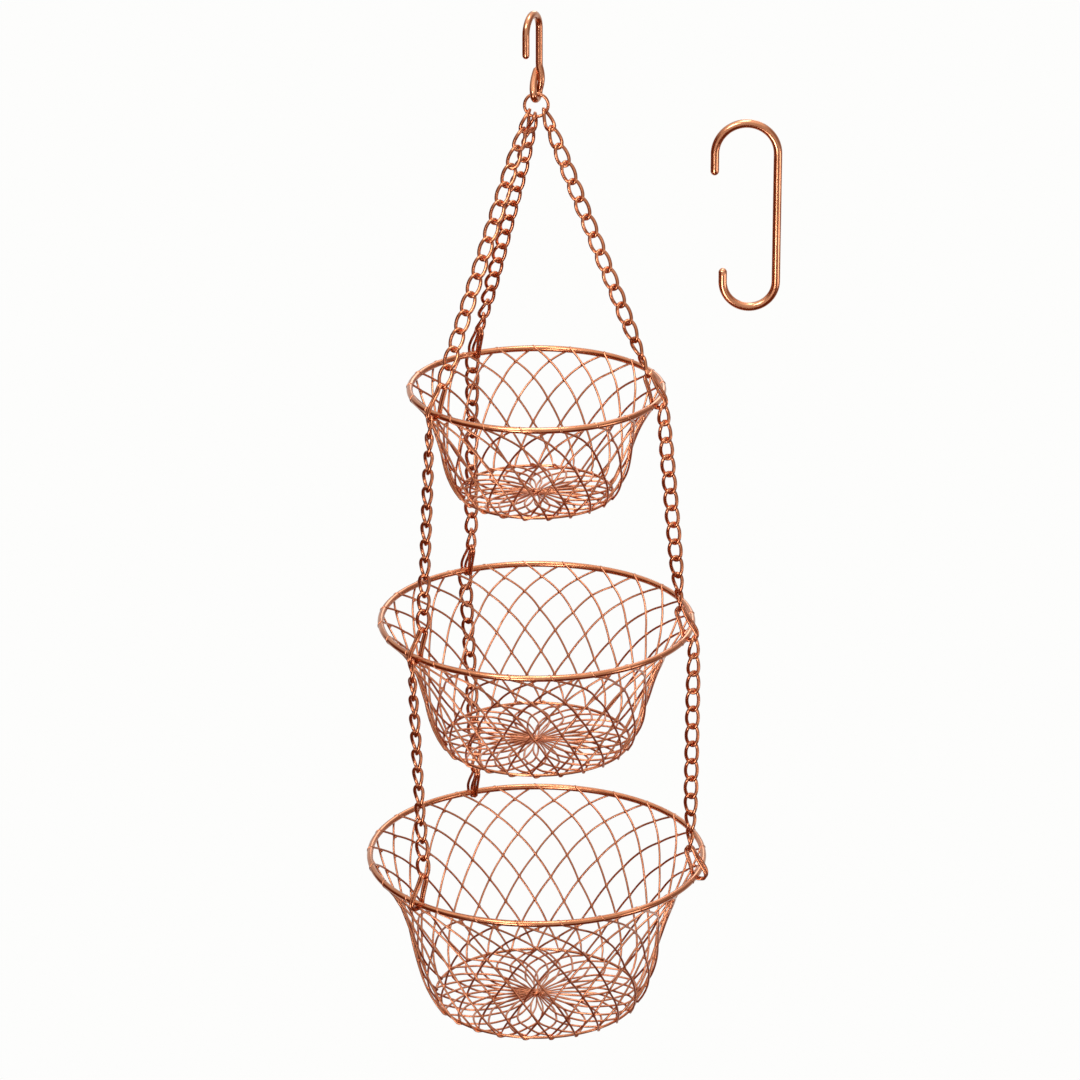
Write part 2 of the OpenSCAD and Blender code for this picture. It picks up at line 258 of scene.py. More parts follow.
def smooth_path(points: Sequence[Sequence[float]], steps: int) -> List[Vector]:
    """Run a smooth curve through points.

    Args:
        points: The points it passes.
        steps: New points in each stretch.

    Returns:
        The points of the curve.
    """
    ps = [Vector(p) for p in points]
    ends = [ps[0] * 2 - ps[1]] + ps + [ps[-1] * 2 - ps[-2]]
    out: List[Vector] = []
    for i in range(1, len(ends) - 2):
        a, b, c, d = ends[i - 1:i + 3]
        for k in range(steps):
            t = k / steps
            out.append(0.5 * (2 * b + (c - a) * t + (2 * a - 5 * b + 4 * c - d) * t * t
                              + (3 * b - a - 3 * c + d) * t ** 3))
    out.append(ps[-1])
    return out


def wire(name: str, paths: Sequence[Sequence[Sequence[float]]], thickness: float, sides: int = 8,
         closed: bool = False, round_ends: bool = False, slim: float = 1.0) -> bpy.types.Object:
    """Bend one or more lengths of round wire along paths.

    Args:
        name: The piece's name.
        paths: Each length's middle line, in millimetres.
        thickness: The wire's thickness in millimetres.
        sides: Facets round the wire, an even number.
        closed: Whether each length joins its own start.
        round_ends: Whether the cut ends are rounded over.
        slim: Share of the thickness that is left where both ends are pulled tight.

    Returns:
        The wire as one mesh object.
    """
    curve = bpy.data.curves.new(name, "CURVE")
    curve.dimensions = "3D"
    curve.bevel_depth = thickness / 2 * MM
    curve.bevel_resolution = (sides - 4) // 2
    curve.use_fill_caps = not closed
    for path in paths:
        line = [Vector(p) for p in path]
        sizes = [1.0] * len(line)
        if round_ends:
            head = (line[0] - line[1]).normalized() * thickness / 2
            tail = (line[-1] - line[-2]).normalized() * thickness / 2
            line = ([line[0] + head * (s - 1) for s in reversed(CAP_STEPS)]
                    + line[1:-1] + [line[-1] + tail * (s - 1) for s in CAP_STEPS])
            ends = [math.sqrt(1 - s * s) for s in CAP_STEPS]
            sizes = list(reversed(ends)) + [1.0] * (len(line) - 2 * len(CAP_STEPS)) + ends
        for i in range(PULLED_POINTS if slim < 1 else 0):
            pull = 1 - (1 - slim) * min(1.0, (PULLED_POINTS - i) / PULL_FADE)
            sizes[i] *= pull
            sizes[-1 - i] *= pull
        spline = curve.splines.new("POLY")
        spline.points.add(len(line) - 1)
        spline.use_cyclic_u = closed
        for point, place, size in zip(spline.points, line, sizes):
            point.co = (*(place * MM), 1.0)
            point.radius = size
    obj = bpy.data.objects.new(name, curve)
    bpy.context.scene.collection.objects.link(obj)
    choose(obj)
    bpy.ops.object.convert(target="MESH")
    obj = bpy.context.view_layer.objects.active
    obj.name = name
    obj.data.name = name
    choose(obj)
    bpy.ops.object.mode_set(mode="EDIT")
    bpy.ops.mesh.select_all(action="SELECT")
    bpy.ops.mesh.remove_doubles(threshold=MERGE_M)
    bpy.ops.mesh.normals_make_consistent(inside=False)
    bpy.ops.object.mode_set(mode="OBJECT")
    bpy.ops.object.shade_smooth_by_angle(angle=math.radians(SMOOTH_UNDER))
    return obj


def drops(name: str, places: Sequence[Vector], size: float) -> bpy.types.Object:
    """Set small drops of plating where wires cross.

    Args:
        name: The piece's name.
        places: The middles of the drops, in millimetres.
        size: A drop's radius in millimetres.

    Returns:
        All the drops as one mesh object.
    """
    clear_selection()
    bpy.ops.mesh.primitive_ico_sphere_add(subdivisions=1, radius=size * MM, location=(0, 0, 0))
    one = bpy.context.view_layer.objects.active
    verts = [v.co.copy() for v in one.data.vertices]
    faces = [tuple(p.vertices) for p in one.data.polygons]
    bpy.data.objects.remove(one, do_unlink=True)
    all_verts: List[Vector] = []
    all_faces: List[Tuple[int, ...]] = []
    for place in places:
        start = len(all_verts)
        all_verts += [v + place * MM for v in verts]
        all_faces += [tuple(start + i for i in f) for f in faces]
    mesh = bpy.data.meshes.new(name)
    mesh.from_pydata(all_verts, [], all_faces)
    obj = bpy.data.objects.new(name, mesh)
    bpy.context.scene.collection.objects.link(obj)
    choose(obj)
    bpy.ops.object.shade_smooth()
    return obj


def join(pieces: Sequence[bpy.types.Object], name: str) -> bpy.types.Object:
    """Join pieces of one kind into one object.

    Args:
        pieces: The pieces, the first of which takes in the rest.
        name: The joined piece's name.

    Returns:
        The joined object.
    """
    clear_selection()
    for piece in pieces:
        piece.select_set(True)
    bpy.context.view_layer.objects.active = pieces[0]
    bpy.ops.object.join()
    pieces[0].name = name
    pieces[0].data.name = name
    return pieces[0]


def dress(obj: bpy.types.Object, finish: bpy.types.Material, body: str,
          nodes: Sequence[str]) -> None:
    """Give a piece its finish, its body and the nodes it stands for.

    Args:
        obj: The piece.
        finish: Its material.
        body: The body it moves with.
        nodes: The CAD nodes it replaces.
    """
    obj.data.materials.clear()
    obj.data.materials.append(finish)
    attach(obj, body)
    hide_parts(*nodes)
    log.info("%s: %d faces on %s", obj.name, len(obj.data.polygons), body)


# ------------------------------------------------------------------ hook and ring

@dataclass
class Plumb:
    """The vertical line on which everything below the hook hangs."""

    hook_bend: float = 15.0
    eye: float = 6.5
    turn: float = 68.0

    @property
    def x(self) -> float:
        """How far right of the hook's bend the line hangs."""
        return (self.hook_bend - self.eye) * math.cos(math.radians(self.turn))

    @property
    def y(self) -> float:
        """How far behind the hook's bend the line hangs."""
        return (self.hook_bend - self.eye) * math.sin(math.radians(self.turn))

    def on(self, p: Sequence[float], z: float = 0.0) -> Vector:
        """Move a point from the line's own place into the frame.

        Args:
            p: The point about the line.
            z: Height added to it.

        Returns:
            The point in the frame.
        """
        return Vector((p[0] + self.x, p[1] + self.y, p[2] + z))


PLUMB = Plumb()


@dataclass
class HangingHook:
    """The top hook: a crook, a shank that bows a little at its foot, and a bent eye.

    The knee and the stop shape the eye's return leg, which bends back and ends
    behind the shank. They are measured from the eye's start and the shank's foot.
    """

    wire_mm: float = 6.2
    bend: float = PLUMB.hook_bend
    tip_drop: float = 20.0
    shank: float = 38.0
    shank_bow: float = 2.0
    bow_from: float = 0.6
    eye: float = PLUMB.eye
    eye_height: float = 16.5
    knee: Point = (8.0, 4.8, 8.0)
    stop: Point = (5.6, 3.0, 3.0)
    turn: float = PLUMB.turn

    def path(self) -> List[Point]:
        """The middle line of its wire, from the tip to the end of the return leg.

        Returns:
            Points in millimetres.
        """
        out_x = self.bend - self.eye
        low = -self.shank - self.eye_height
        bowed = 1 - self.bow_from
        line: List[Point] = [(-self.bend, 0.0, -self.tip_drop * (1 - i / 6)) for i in range(6)]
        line += [(self.bend * math.cos(a), 0.0, self.bend * math.sin(a))
                 for a in [math.pi * (1 - i / 28) for i in range(29)]]
        line += [(self.bend,
                  -self.shank_bow * math.sin(math.pi * max(i / 18 - self.bow_from, 0) / bowed),
                  low * i / 18) for i in range(1, 18)]
        line += [(out_x + self.eye * math.cos(a), 0.0, low + self.eye * math.sin(a))
                 for a in [-math.pi * i / 20 for i in range(21)]]
        start = Vector((out_x - self.eye, 0.0, low))
        knee = Vector((out_x - self.eye + self.knee[0], self.knee[1], low + self.knee[2]))
        stop = Vector((self.bend + self.stop[0], self.stop[1], -self.shank + self.stop[2]))
        for i in range(1, 17):
            t = i / 16
            line.append(tuple(start * (1 - t) ** 2 + knee * 2 * t * (1 - t) + stop * t * t))
        base = self.wire_mm / 2 - self.bend
        return [spin((x, y, z + base), self.turn) for x, y, z in line]

    def build(self, finish: bpy.types.Material) -> None:
        """Bend the hook and dress it.

        Args:
            finish: Its material.
        """
        obj = wire("hanging_hook_wire", [self.path()], self.wire_mm, 20, round_ends=True)
        dress(obj, finish, "hook", ["hanging_hook"])

    @property
    def ring_top(self) -> float:
        """Height of the middle of the ring's wire where it hangs in the eye."""
        eye_bottom = self.wire_mm / 2 - self.bend - self.shank - self.eye_height - self.eye
        return eye_bottom + self.wire_mm / 2 + GatherRing.wire_mm / 2 + REST_GAP


@dataclass
class SpareHook:
    """The loose double hook that hangs free beside the basket."""

    wire_mm: float = 7.4
    wide: float = 26.9
    narrow: float = 22.9
    length: float = 114.0
    wide_end: float = 19.0
    narrow_end: float = 12.0
    place_x: float = 209.4
    drop: float = 119.0

    def path(self) -> List[Point]:
        """The middle line of its wire, from the wide end to the narrow end.

        Returns:
            Points in millimetres.
        """
        x0, z0, z1 = self.place_x, -self.drop, -self.drop - self.length
        line: List[Point] = [(x0 - 2 * self.wide, 0.0, z0 - self.wide_end * (1 - i / 6))
                             for i in range(6)]
        line += [(x0 - self.wide + self.wide * math.cos(a), 0.0, z0 + self.wide * math.sin(a))
                 for a in [math.pi * (1 - i / 36) for i in range(37)]]
        line += [(x0, 0.0, z0 - self.length * i / 20) for i in range(1, 20)]
        line += [(x0 - self.narrow + self.narrow * math.cos(a), 0.0, z1 + self.narrow * math.sin(a))
                 for a in [-math.pi * i / 36 for i in range(37)]]
        line += [(x0 - 2 * self.narrow, 0.0, z1 + self.narrow_end * i / 4) for i in range(1, 5)]
        return line

    def build(self, finish: bpy.types.Material) -> None:
        """Bend the hook and dress it.

        Args:
            finish: Its material.
        """
        obj = wire("spare_hook_wire", [self.path()], self.wire_mm, 20, round_ends=True)
        dress(obj, finish, "hook", ["spare_hook"])


@dataclass
class GatherRing:
    """The ring that gathers the three upper chains."""

    top: float
    radius: float = 10.1
    wire_mm: float = 2.8

    @property
    def middle(self) -> Vector:
        """The ring's middle in the frame."""
        return Vector((PLUMB.x, PLUMB.y, self.top - self.radius))

    def hold(self, degrees: float) -> Vector:
        """Where an upper chain's first link lies inside the ring.

        Args:
            degrees: Place round the ring, from the right.

        Returns:
            The middle of the link's end wire.
        """
        r = self.radius - self.wire_mm / 2 - CHAIN_HALF - REST_GAP
        a = math.radians(degrees)
        return self.middle + Vector((r * math.cos(a), 0, r * math.sin(a)))

    def build(self, finish: bpy.types.Material) -> None:
        """Bend the ring and dress it.

        Args:
            finish: Its material.
        """
        path = [self.middle + Vector((self.radius * math.cos(a), 0, self.radius * math.sin(a)))
                for a in [math.tau * i / 72 for i in range(72)]]
        obj = wire("gather_ring_wire", [path], self.wire_mm, 14, closed=True)
        dress(obj, finish, "ring", ["ring"])


# ------------------------------------------------------------------ baskets

@dataclass
class Tier:
    """One round basket: rim, foot ring and crossing mesh wires.

    Each mesh wire runs outside the wall one way round, over the rim and back
    down inside the wall the other way round, and on across the floor.
    """

    name: str
    body: str
    rim_r: float
    foot_r: float
    depth: float
    top_z: float
    flare: float
    # Degrees that a mesh wire turns round the basket on its way down the wall.
    turn: float
    start: float
    count: int
    # Places of the clips round the rim in degrees, in the order of Side.
    hang: Tuple[float, float, float]
    seed: int
    rim_mm: float = 5.5
    foot_mm: float = 2.6
    mesh_mm: float = 1.95
    # How deep the mesh wires lie in the plating of the rim and of the foot ring.
    sunk_mm: float = 1.45
    bite_mm: float = 0.3
    # Share of half a thickness by which crossing wires stand off each other's middle.
    nested: float = 0.94
    apex_deg: float = 0.9
    flare_turn: float = 0.21
    floor_turn: float = 34.0
    # Spread of the crossings' unevenness, and the slight bow between two of them.
    stray_deg: float = 0.32
    stray_mm: float = 0.55
    bow_deg: float = 0.22
    # Crossings below this share of the depth are the foot ring's own.
    last_row: float = 0.97

    @property
    def touch(self) -> float:
        """How far a wire's middle stands off the wall's middle at a crossing."""
        return self.mesh_mm / 2 * self.nested

    @property
    def rim_off(self) -> float:
        """How far a mesh wire's middle stands off the rim's."""
        return self.rim_mm / 2 + self.mesh_mm / 2 - self.sunk_mm

    @property
    def foot_off(self) -> float:
        """How far a mesh wire's middle stands off the foot ring's."""
        return self.foot_mm / 2 + self.touch - self.bite_mm

    def wall(self, t: float) -> Tuple[float, float]:
        """Radius and height of the wall at a share t of the way down.

        Args:
            t: Share of the depth, from 0 at the rim to 1 at the foot.

        Returns:
            Radius and height about the basket's own rim.
        """
        g = self.flare * (1 - t) ** 3 + (1 - self.flare) * (1 - t ** 6)
        return (self.foot_r + (self.rim_r - self.foot_r) * g, -self.depth * t)

    def wall_out(self, t: float) -> Tuple[float, float]:
        """The way out of the wall, square to it.

        Args:
            t: Share of the depth.

        Returns:
            Radial and upright parts of a unit direction.
        """
        a, b = self.wall(max(t - 0.04, 0.0)), self.wall(min(t + 0.04, 1.0))
        d = (b[0] - a[0], b[1] - a[1])
        n = math.hypot(*d)
        return (-d[1] / n, d[0] / n)

    def jitter(self, row: int, place: int) -> Tuple[float, float]:
        """Small unevenness of one crossing, the same for both its wires.

        Args:
            row: The crossing's row, counted from the rim.
            place: Its place round the basket.

        Returns:
            Degrees round the basket and millimetres down the wall.
        """
        rng = random.Random(self.seed * 100003 + row * 1009 + place % self.count)
        return (rng.gauss(0, self.stray_deg), rng.gauss(0, self.stray_mm))

    def turned(self, t: float) -> float:
        """Share of its turn that a wire has made at a share t of the way down."""
        return t + (1 - (1 - t) ** 6 - t) * self.flare_turn

    def rows(self) -> List[float]:
        """Shares of the depth at which the wires cross on the wall, each found by halving."""
        half = 180 / self.count
        rows: List[float] = []
        for k in range(1, 30):
            low, high = 0.0, 1.0
            for _ in range(30):
                mid = (low + high) / 2
                low, high = (mid, high) if self.turned(mid) * self.turn < k * half else (low, mid)
            if high < self.last_row:
                rows.append(high)
        return rows

    def leg(self, side: int, index: int) -> List[Vector]:
        """One leg of a mesh wire down the wall, kinked a little at each crossing.

        Args:
            side: 1 outside the wall, -1 inside it.
            index: Which wire it is.

        Returns:
            Its middle line about the basket's own rim.
        """
        base = self.start + index * 360 / self.count
        marks = [(0.0, 0.0, 0.0)]
        for k, t in enumerate(self.rows(), start=1):
            marks.append((t, *self.jitter(k, 2 * index + side * k)))
        marks.append((1.0, 0.0, 0.0))
        out: List[Vector] = []
        for (t0, a0, z0), (t1, a1, z1) in zip(marks, marks[1:]):
            steps = 5 if t1 < 1.0 else 3
            for i in range(steps):
                s = i / steps
                t = t0 + (t1 - t0) * s
                down = (z0 + (z1 - z0) * s) / self.depth
                r, z = self.wall(min(max(t + down, 0.0), 1.0))
                n = self.wall_out(t)
                # The wire leaves the wall only close to the rim and to the foot ring.
                off = (self.touch + (self.rim_off - self.touch) * (1 - t) ** 16
                       + (self.foot_off - self.touch) * t ** 12)
                bow = self.bow_deg * math.sin(math.pi * s)
                turn = self.turn * self.turned(t) + (1 - t) ** 24 * self.apex_deg
                out.append(Vector(spin((r + side * off * n[0], 0, z + side * off * n[1]),
                                       base + side * turn + a0 + (a1 - a0) * s + bow * side)))
        return out

    def floor_leg(self, side: int, index: int) -> List[Vector]:
        """The rest of a mesh wire, round the foot ring and across the floor.

        Args:
            side: 1 outside and below, -1 inside and above.
            index: Which wire it is.

        Returns:
            Its middle line about the basket's own rim.
        """
        base = self.start + index * 360 / self.count
        n = self.wall_out(1.0)
        wall_a = math.degrees(math.atan2(n[1], n[0]))
        # The way from the wall round the foot ring to the floor, outside or inside it.
        bends = [wall_a, wall_a * 0.7 - 27, wall_a * 0.35 - 58.5, -88] if side > 0 else [
            wall_a + 180, wall_a / 2 + 135, 98]
        out: List[Vector] = []
        for i, bend in enumerate(bends):
            b = math.radians(bend)
            o = (self.foot_off * math.cos(b), self.foot_off * math.sin(b))
            out.append(Vector(spin((self.foot_r + o[0], 0, -self.depth + o[1]),
                                   base + side * (self.turn + i * 0.5))))
        # No two wires cross the floor alike: each strays, dips and ends in its own way.
        rng = random.Random(self.seed * 31 + index * 2 + side)
        wob, dip, reach = rng.gauss(0, 1.1), rng.uniform(-0.4, 0.25), rng.uniform(0.0, 1.6)
        end = 2.6 if side > 0 else 5.2 + reach
        steps = 26
        for i in range(2, steps + 1):
            t = i / steps
            r = self.foot_r + (end - self.foot_r) * t ** 0.95
            a = side * (self.turn + 0.5 * len(bends) + self.floor_turn * (1 - (1 - t) ** 2.2))
            a += wob * math.sin(math.pi * t) + 0.9 * math.sin(t * 19 + index) * (1 - t)
            drop = self.touch * max(0.0, (t - 0.86) / 0.14) if side < 0 else 0.0
            sag = (0.5 + dip) * math.sin(math.pi * min(t * 1.15, 1.0))
            out.append(Vector(spin((r, 0, -self.depth - side * self.touch - drop - sag), base + a)))
        return out

    def over_rim(self, index: int) -> List[Vector]:
        """The stretch of a mesh wire that passes over the rim, half sunk in the plating.

        Args:
            index: Which wire it is.

        Returns:
            Its middle line about the basket's own rim.
        """
        base = self.start + index * 360 / self.count
        n = self.wall_out(0.0)
        low = math.degrees(math.atan2(n[1], n[0]))
        out: List[Vector] = []
        for i in range(1, 12):
            t = i / 12
            b = math.radians(low + 180 * t)
            out.append(Vector(spin(
                (self.rim_r + self.rim_off * math.cos(b), 0, self.rim_off * math.sin(b)),
                base + self.apex_deg * (1 - 2 * t))))
        return out

    def mesh_paths(self) -> List[List[Vector]]:
        """Every mesh wire's middle line in the frame.

        Returns:
            One list of points for each wire.
        """
        paths: List[List[Vector]] = []
        for i in range(self.count):
            outside = self.leg(1, i) + self.floor_leg(1, i)
            inside = self.leg(-1, i) + self.floor_leg(-1, i)
            line = list(reversed(outside)) + self.over_rim(i) + inside
            paths.append([PLUMB.on(p, self.top_z) for p in line])
        return paths

    def drop_places(self) -> List[Vector]:
        """Where the wires cross on the wall.

        Returns:
            The crossings' middles in the frame.
        """
        half = 180 / self.count
        places: List[Vector] = []
        for k, t in enumerate(self.rows(), start=1):
            for i in range(self.count):
                place = 2 * i + k
                da, dz = self.jitter(k, place)
                r, z = self.wall(t + dz / self.depth)
                places.append(PLUMB.on(spin((r, 0, z), self.start + place * half + da),
                                       self.top_z))
        return places

    def build_rim(self, finish: bpy.types.Material) -> None:
        """Bend the thick rim and dress it.

        Args:
            finish: Its material.
        """
        path = [PLUMB.on(spin((self.rim_r, 0, 0), 360 * i / 180), self.top_z) for i in range(180)]
        obj = wire(f"{self.name}_rim_wire", [path], self.rim_mm, 16, closed=True)
        dress(obj, finish, self.body, [f"{self.name}_rim"])

    def build_foot(self, finish: bpy.types.Material) -> None:
        """Bend the foot ring and dress it.

        Args:
            finish: Its material.
        """
        path = [PLUMB.on(spin((self.foot_r, 0, -self.depth), 360 * i / 150), self.top_z)
                for i in range(150)]
        obj = wire(f"{self.name}_foot_wire", [path], self.foot_mm, 12, closed=True)
        dress(obj, finish, self.body, [f"{self.name}_foot_ring"])

    def build_mesh(self, finish: bpy.types.Material) -> None:
        """Bend all the mesh wires, set the drops and dress them.

        Args:
            finish: Their material.
        """
        strands = wire(f"{self.name}_mesh_strands", self.mesh_paths(), self.mesh_mm, 8,
                       round_ends=True, slim=0.66)
        beads = drops(f"{self.name}_mesh_drops", self.drop_places(), self.mesh_mm * 0.98)
        obj = join([strands, beads], f"{self.name}_mesh_wires")
        dress(obj, finish, self.body, [f"{self.name}_mesh"])


@dataclass
class FloorKnot:
    """The wound tie that gathers the mesh wires in the middle of a basket's floor."""

    tier: Tier
    wire_mm: float = 1.7
    strands: int = 3
    points: int = 34
    winding: float = 300.0
    outer_r: float = 4.9
    closing: float = 1.9
    core_r: float = 3.3
    core_flat: float = 0.75
    core_drop: float = 0.2

    def strand(self, index: int) -> List[Vector]:
        """One strand of the tie, wound inwards and upwards.

        Args:
            index: Which strand it is.

        Returns:
            Its middle line in the frame.
        """
        path: List[Vector] = []
        for i in range(self.points):
            t = i / (self.points - 1)
            a = 360 / self.strands * index + self.winding * t
            r = self.outer_r - self.closing * t + 0.5 * math.sin(7 * t + index)
            rise = -1.6 + 5.2 * t * (1 - 0.35 * t) + 0.3 * math.sin(9 * t + 2 * index)
            path.append(PLUMB.on(spin((r, 0, -self.tier.depth + rise), a), self.tier.top_z))
        return path

    def build(self, finish: bpy.types.Material) -> None:
        """Wind the tie round its core and dress it.

        Args:
            finish: Its material.
        """
        name = f"{self.tier.name}_knot"
        twists = [self.strand(k) for k in range(self.strands)]
        tie = wire(f"{name}_tie", twists, self.wire_mm, 8, round_ends=True)
        clear_selection()
        middle = PLUMB.on((0, 0, -self.tier.depth - self.core_drop), self.tier.top_z) * MM
        bpy.ops.mesh.primitive_uv_sphere_add(segments=24, ring_count=14, radius=self.core_r * MM,
                                             location=middle)
        core = bpy.context.view_layer.objects.active
        bpy.ops.object.transform_apply(location=True, rotation=True, scale=True)
        for v in core.data.vertices:
            v.co.z = middle.z + (v.co.z - middle.z) * self.core_flat
        bpy.ops.object.shade_smooth()
        obj = join([tie, core], f"{name}_tied")
        dress(obj, finish, self.tier.body, [name])


@dataclass
class Clip:
    """A clip of two turns of wire that holds one chain above and one below."""

    tier: Tier
    side: Side
    wire_mm: float = 2.6
    rise: float = 23.0
    lean: float = 7.0
    reach: float = 5.7
    head_r: float = 3.55
    head_room: float = 0.9
    rim_gap: float = 0.1
    # Each turn's place aside of the clip's middle plane, and where the chain below hangs.
    aside: float = 1.35
    foot_z: float = -0.58

    @property
    def angle(self) -> float:
        """The clip's place round the rim, in degrees."""
        return self.tier.hang[self.side.value]

    def turn_points(self, shift: float, bow: float, widen: float) -> List[Point]:
        """One turn of the clip in its own plane, as out, aside and up.

        Args:
            shift: Place of this turn aside of the clip's middle plane.
            bow: How far the outer leg bows out.
            widen: How far the legs part from the other turn's.

        Returns:
            Points from the inner corner, up, over and round to the base.
        """
        # The wire's middle just clear of the rim, the same inwards as downwards.
        base = -self.tier.rim_mm / 2 - self.rim_gap - self.wire_mm / 2
        outer = self.reach + CHAIN_HALF + self.head_room
        top = self.rise - self.head_room
        lean, head = self.lean, self.head_r
        return [
            # The inner leg, up to the head.
            (base + 0.1, shift, base + 2.2), (base - 1.2, shift, base + 8.5),
            (base - 3.6, shift + widen * 0.4, base + 17.0), (-lean - head, shift, top - 1.5),
            # The head, in which the chain above lies.
            (-lean - head * 0.75, shift, top + head * 0.66), (-lean, shift, top + head),
            (-lean + head * 0.75, shift, top + head * 0.66),
            # The outer leg, down to the hold of the chain below.
            (-lean + head + 1.6, shift + widen * 0.5, top - 3.0 + bow * 0.2),
            (1.6 + bow * 0.8, shift + widen, base + 16.5),
            (outer - 1.6 + bow * 0.6, shift + widen, base + 9.5),
            (outer + bow * 0.25, shift + widen * 0.5, base + 4.2),
            # The base, under the rim and back to the inner corner.
            (outer - 1.2, shift, base + 0.8), (outer - 4.2, shift, base),
            (base + 2.6, shift, base + 0.1)]

    def build(self, finish: bpy.types.Material) -> None:
        """Wind the clip and dress it.

        Args:
            finish: Its material.
        """
        near = self.turn_points(-self.aside, 0.3, -0.5)
        far = self.turn_points(self.aside, 2.4, 0.6)
        start = (near[0][0] + 0.6, -1.3, near[0][2] - 0.4)
        path = [PLUMB.on(spin((self.tier.rim_r + p[0], p[1], p[2]), self.angle), self.tier.top_z)
                for p in smooth_path([start] + near + far, 5)]
        name = f"{self.tier.name}_{self.side.word}_clip"
        obj = wire(f"{name}_wire", [path], self.wire_mm, 10, round_ends=True)
        dress(obj, finish, self.tier.body, [name])

    def foot(self) -> Vector:
        """Where the chain below hangs from this clip."""
        return PLUMB.on(spin((self.tier.rim_r + self.reach, 0, self.foot_z), self.angle),
                        self.tier.top_z)

    def head(self) -> Vector:
        """Where the chain above holds this clip."""
        return PLUMB.on(spin((self.tier.rim_r - self.lean, 0, self.rise), self.angle),
                        self.tier.top_z)

    def across(self) -> Vector:
        """The level direction along the rim at this clip."""
        a = math.radians(self.angle)
        return Vector((-math.sin(a), math.cos(a), 0))


@dataclass
class Chain:
    """One hanging length of twisted chain between two holds.

    Its first and last few links turn about its length, from the way that each
    hold asks for to the way that the middle of the chain faces.
    """

    node: str
    body: str
    top: Vector
    bottom: Vector
    first: Vector
    last: Vector
    pitch: float = 16.3
    wire_mm: float = 3.15
    width: float = 13.5
    slack: float = 0.1
    twist: float = 62.0
    eased: int = 3
    facing: Point = (1.0, 0.0, 0.0)
    # Exponents under 1 make a link's sides and ends fuller than an ellipse's.
    full_sides: float = 0.84
    full_ends: float = 0.92
    points: int = 32

    @staticmethod
    def half_turn(near: float, angle: float) -> float:
        """Move an angle by half turns, which leave a link as it was, close to another angle.

        Args:
            near: The angle to come close to, in degrees.
            angle: The angle to move, in degrees.

        Returns:
            The moved angle.
        """
        return angle + 180 * round((near - angle) / 180)

    def link(self, reach: float) -> List[Vector]:
        """One twisted link about the origin, its length along Z.

        Args:
            reach: Half the length of its wire's middle line.

        Returns:
            The middle line of its wire.
        """
        half_w = (self.width - self.wire_mm) / 2
        line: List[Vector] = []
        for i in range(self.points):
            a = math.tau * i / self.points
            c, s = math.cos(a), math.sin(a)
            x = half_w * math.copysign(abs(c) ** self.full_sides, c)
            z = reach * math.copysign(abs(s) ** self.full_ends, s)
            line.append(Vector(spin((x, 0, z), self.twist / 2 * z / reach)))
        return line

    def build(self, finish: bpy.types.Material) -> None:
        """Lay the links from the top hold to the bottom one and dress them.

        Args:
            finish: Their material.
        """
        r = (self.width - self.wire_mm) / 2
        lean = (self.top - self.bottom).normalized()
        bend_a = self.top - r * (lean - lean.dot(self.first) * self.first).normalized()
        bend_b = self.bottom + r * (lean - lean.dot(self.last) * self.last).normalized()
        along = (bend_a - bend_b).normalized()
        a, b = bend_a + r * along, bend_b - r * along
        span = (a - b).length - self.wire_mm - self.slack
        count = round(span / self.pitch)
        pitch = span / count
        e0 = (self.first - self.first.dot(along) * along).normalized()
        side = along.cross(e0)
        e1 = (self.last - self.last.dot(along) * along).normalized()
        out = Vector(self.facing)
        start = -self.twist / 2
        face = self.half_turn(start, math.degrees(math.atan2(out.dot(side), out.dot(e0))))
        held = math.degrees(math.atan2(e1.dot(side), e1.dot(e0)))
        stop = self.half_turn(face, held + self.twist / 2)
        reach = (pitch + self.wire_mm + self.slack) / 2
        shape = self.link(reach)
        paths: List[List[Vector]] = []
        for i in range(count):
            early = max(0, self.eased - i) / self.eased
            late = max(0, i - (count - 1 - self.eased)) / self.eased
            turn = math.radians(face + early * (start - face) + late * (stop - face))
            e = math.cos(turn) * e0 + math.sin(turn) * side
            n = along.cross(e)
            c = a - (reach + i * pitch) * along
            paths.append([c + p[0] * e + p[1] * n + p[2] * along for p in shape])
        obj = wire(f"{self.node}_links", paths, self.wire_mm, 10, closed=True)
        dress(obj, finish, self.body, [self.node])


# ------------------------------------------------------------------ studio

@dataclass(frozen=True)
class SoftLight:
    """One round soft light: its place and size in metres and its power in watts."""

    name: str
    place: Point
    size: float
    power: float
    aim: Point = (0.03, 0.0, -0.5)

    def build(self) -> None:
        """Hang the light and point it at the baskets."""
        lamp = bpy.data.lights.new(self.name, "AREA")
        lamp.shape = "DISK"
        lamp.size = self.size
        lamp.energy = self.power
        obj = bpy.data.objects.new(self.name, lamp)
        obj.location = self.place
        way = Vector(self.aim) - Vector(self.place)
        obj.rotation_euler = way.to_track_quat("-Z", "Y").to_euler()
        bpy.context.scene.collection.objects.link(obj)


LIGHTS = (SoftLight("key_light", (-0.9, -1.7, 1.7), 1.0, 33.0),
          SoftLight("low_card", (-0.62, -2.3, -1.35), 0.8, 21.0),
          SoftLight("side_light", (2.2, -1.0, -0.9), 0.9, 7.0),
          SoftLight("top_light", (0.1, 0.1, 2.2), 0.9, 24.0),
          SoftLight("back_light", (0.6, 2.6, 0.9), 1.2, 8.0))


